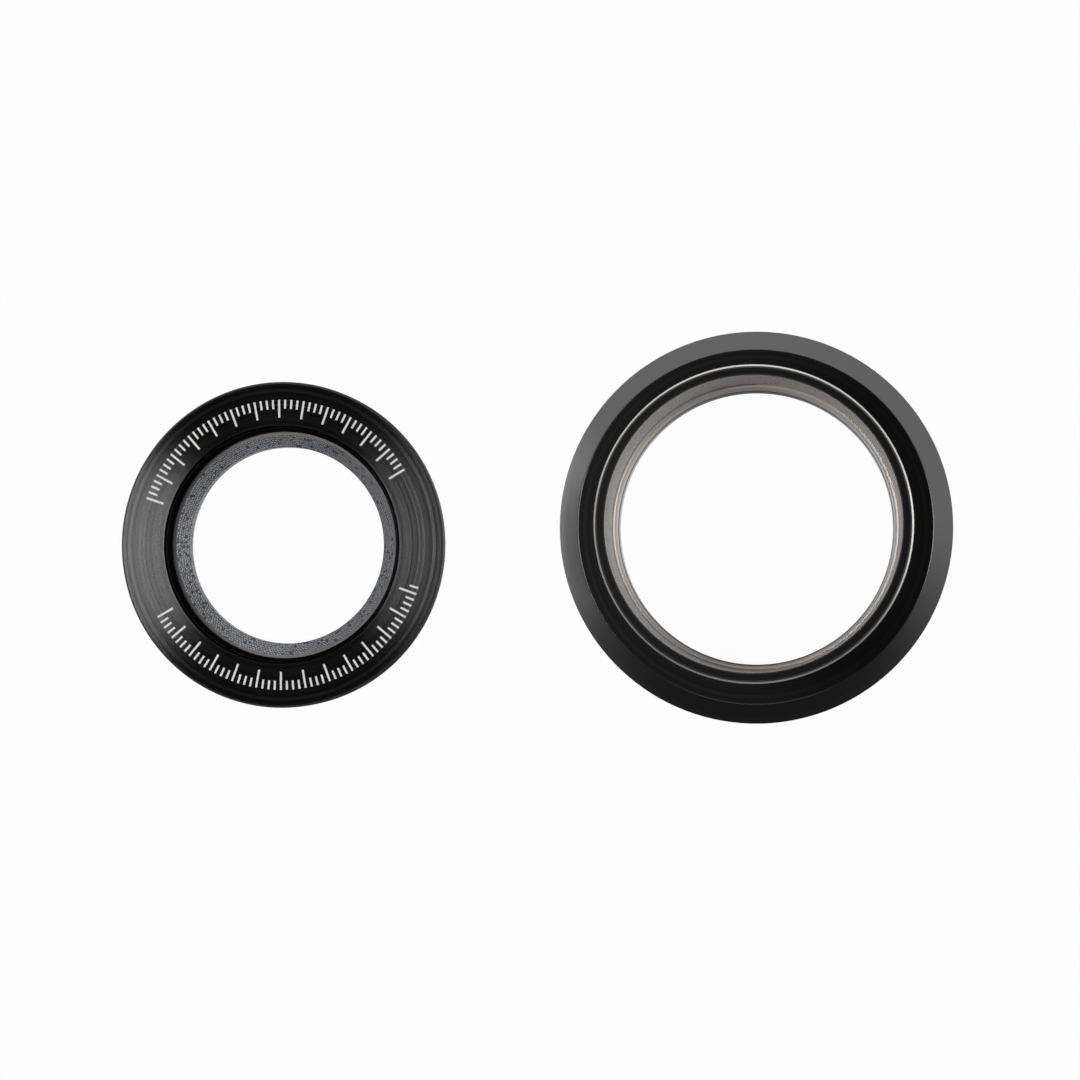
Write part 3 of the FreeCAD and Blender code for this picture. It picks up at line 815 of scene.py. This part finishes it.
strip = add(mesh_skin, "ShaderNodeBsdfPrincipled", {
    "Base Color": tone, "Roughness": 0.45, "Metallic": 0.25, "Normal": weave.outputs[0]})
show(mesh_skin, strip.outputs[0])
dress(mesh_skin, "compression_ring_liner")

# %% [markdown]
# ## Marks on the cover
#
# A laser bleaches the dye out of the oxide and leaves white. Two arcs of plain ticks stand
# on the cover, as on a dial: short ones, and a long one at every fourth. Each tick is a thin
# closed plate that lies along a radius, a hundredth or two of a millimetre proud, so that
# its edges stay sharp in any view. It could be a zone of the black finish too, but this way
# the ticks stay one piece of their own that turns with the cover.

# %% Ticks
TICK_STEP = 2.5              # degrees
TICK_ARCS = ((31.0, 163.0), (210.0, 344.0))
TICK_OUTSIDE = 20.9          # mm from the axis
TICK_LONG, TICK_SHORT, TICK_WIDTH = 2.6, 1.3, 0.3     # mm
TICKS_TO_LONG = 4            # every fourth is long
TICK_PROUD, TICK_SUNK = 0.015, 0.02      # mm above and below the cover's face
PLATE_FACES = 6

centre = Vector((UPPER_AXIS.x, UPPER_AXIS.y, COVER_TOP))
corners, faces = [], []
for start, end in TICK_ARCS:
    for number in range(int((end - start) / TICK_STEP) + 1):
        angle = math.radians(start + number * TICK_STEP)
        outward = Vector((math.cos(angle), math.sin(angle), 0))
        aside = Vector((-outward.y, outward.x, 0)) * TICK_WIDTH / 2
        inside = TICK_OUTSIDE - (TICK_SHORT if number % TICKS_TO_LONG else TICK_LONG)
        first = len(corners)
        for z in (-TICK_SUNK, TICK_PROUD):
            for along, side in ((inside, -1), (TICK_OUTSIDE, -1),
                                (TICK_OUTSIDE, 1), (inside, 1)):
                corner = (outward * along + aside * side + Vector((0, 0, z))) * MM
                corners.append(corner + centre)
        faces.append([first + 3, first + 2, first + 1, first])
        faces.append([first + 4, first + 5, first + 6, first + 7])
        faces += [[first + k, first + (k + 1) % 4, first + 4 + (k + 1) % 4, first + 4 + k]
                  for k in range(4)]
tick_mesh = bpy.data.meshes.new("cover_ticks")
tick_mesh.from_pydata(corners, [], faces)
ticks = bpy.data.objects.new("cover_ticks", tick_mesh)
scene.collection.objects.link(ticks)
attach(ticks, "upper_rotor")
print("ticks:", len(faces) // PLATE_FACES)

# %% [markdown]
# ## The white of the marks
#
# Bleached oxide is the same clear ceramic as the black round it, without the dye and
# slightly porous. So it has the same IOR, is rougher, and its white is a little uneven.

# %% Bleached oxide
CHALK = ("#cfcfcd", "#f0f0ee")
CHALK_GRAIN = 0.15           # mm across

bleached = new_material("laser-bleached oxide")
chalk = add(bleached, "ShaderNodeMix",
            {"Factor": grit(bleached, CHALK_GRAIN), "A": linear(CHALK[0]),
             "B": linear(CHALK[1])}, data_type="RGBA")
chalky = add(bleached, "ShaderNodeBsdfPrincipled", {
    "Base Color": chalk.outputs["Result"], "Roughness": 0.6, "IOR": OXIDE_IOR})
show(bleached, chalky.outputs[0])
tick_mesh.materials.append(bleached)
print(bleached.name, "->", ticks.name)
